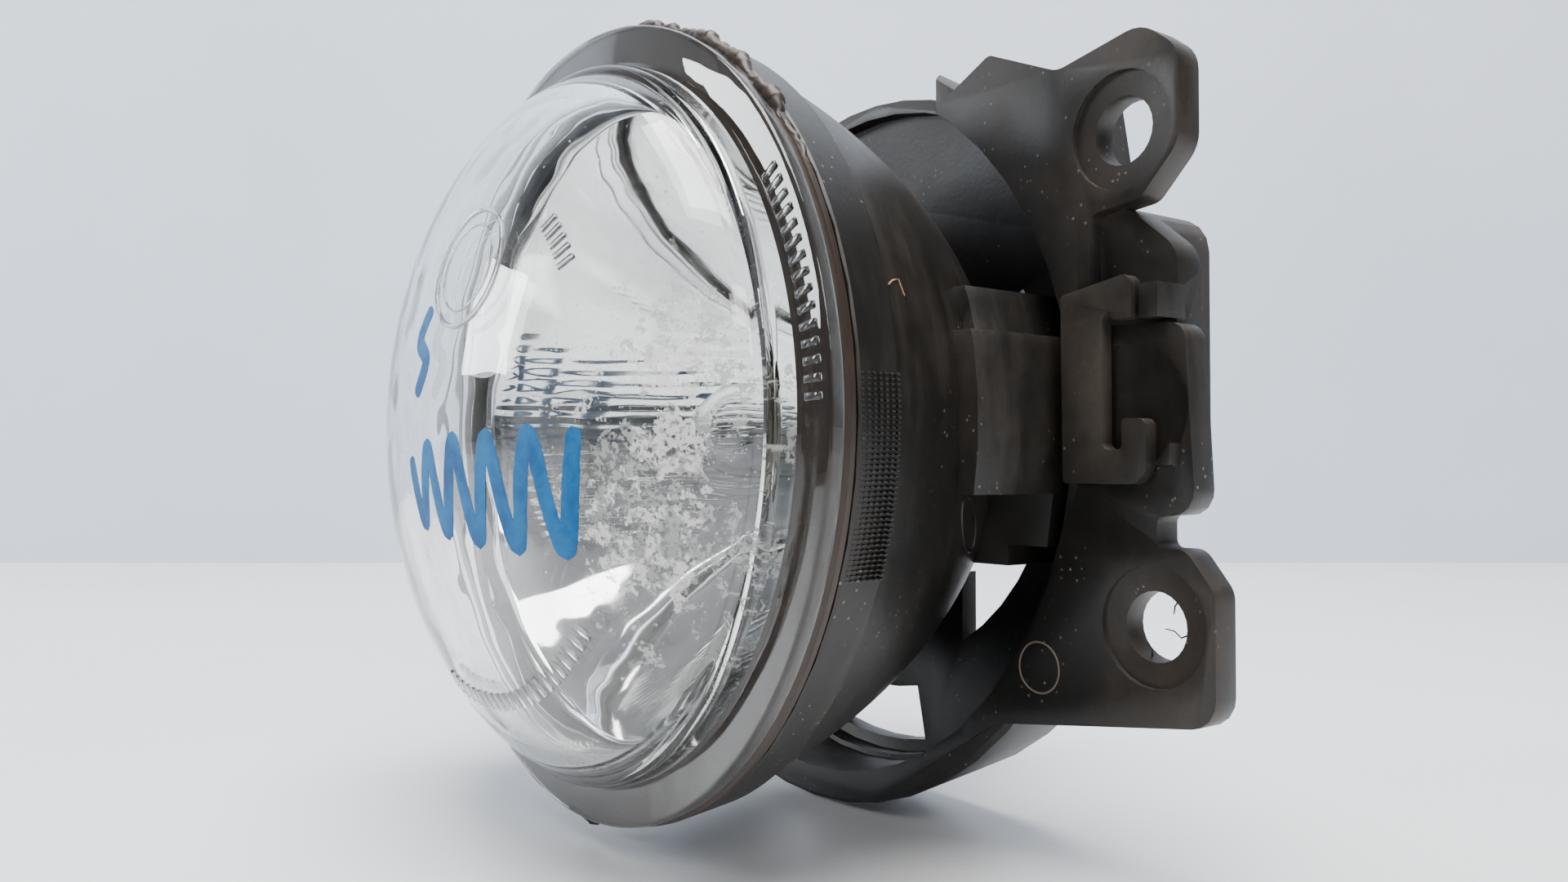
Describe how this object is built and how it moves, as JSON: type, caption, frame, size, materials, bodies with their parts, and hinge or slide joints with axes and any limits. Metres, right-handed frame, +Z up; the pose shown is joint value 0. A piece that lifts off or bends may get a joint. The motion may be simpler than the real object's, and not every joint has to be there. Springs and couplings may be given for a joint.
{
  "type": "fog light",
  "caption": "Round fog light: a domed clear lens on a tapering dark pod, held by side pivots in a ring carrier with screw ears.",
  "frame": {"origin": "where the lamp axis meets the plane that the carrier's ears seat on", "axes": "-Y out of the lens along the lamp axis, +Y towards the bulb connector, +X towards the pair of ears, +Z up"},
  "size_m": [0.1208, 0.0936, 0.0931],
  "materials": {
    "lens_glass": "clear, lightly pitted",
    "sealant_brown": "matt",
    "pod_plastic": "matt, dusty",
    "carrier_plastic": "matt, dusty",
    "clip_plastic": "matt, dusty",
    "reflector_mirror": "vacuum-coated mirror",
    "pivot_steel": "ground",
    "bush_plastic": "moulded",
    "screw_steel": "yellow passivated",
    "ring_steel": "plain",
    "nut_plastic": "natural nylon",
    "vent_rubber": "matt",
    "filter_felt": "felt",
    "bulb_quartz": "clear",
    "filament_wire": "drawn",
    "lead_wire": "drawn",
    "collar_plastic": "moulded",
    "seal_rubber": "moulded",
    "connector_plastic": "moulded",
    "terminal_metal": "tinned"
  },
  "bodies": {
    "carrier": {"bracket": "carrier_plastic", "pivot_clip_right": "clip_plastic", "pivot_clip_left": "clip_plastic", "pivot_bush_right": "bush_plastic", "pivot_bush_left": "bush_plastic"},
    "lamp": {"lens": "lens_glass", "lens_sealant": "sealant_brown", "housing": "pod_plastic", "reflector": "reflector_mirror", "adjuster_nut": "nut_plastic", "vent_cap": "vent_rubber", "vent_filter": "filter_felt", "pivot_pin_right": "pivot_steel", "pivot_pin_left": "pivot_steel"},
    "adjuster": {"adjuster_screw": "screw_steel", "adjuster_clip": "ring_steel"},
    "bulb": {"bulb_glass": "bulb_quartz", "filament": "filament_wire", "lead_wire_long": "lead_wire", "lead_wire_short": "lead_wire", "bulb_collar": "collar_plastic", "bulb_seal": "seal_rubber", "bulb_base": "connector_plastic", "terminal_right": "terminal_metal", "terminal_left": "terminal_metal"}
  },
  "joints": [
    {"name": "lamp_tilt", "type": "hinge", "parent": "carrier", "child": "lamp", "pos_m": [0, 0.0035, 0], "axis": [1, 0, 0], "range_deg": [-3.5, 3.5]},
    {"name": "adjuster_spin", "type": "hinge", "parent": "carrier", "child": "adjuster", "pos_m": [-0.024, 0.0093, 0.028], "axis": [0, 1, 0], "range_deg": [-495, 495]},
    {"name": "bulb_twist", "type": "hinge", "parent": "lamp", "child": "bulb", "pos_m": [0, 0.02, 0], "axis": [0, 1, 0], "range_deg": [0, 45]}
  ],
  "couplings": [
    {"joint": "adjuster_spin", "follows": "lamp_tilt", "ratio": 140.74}
  ]
}
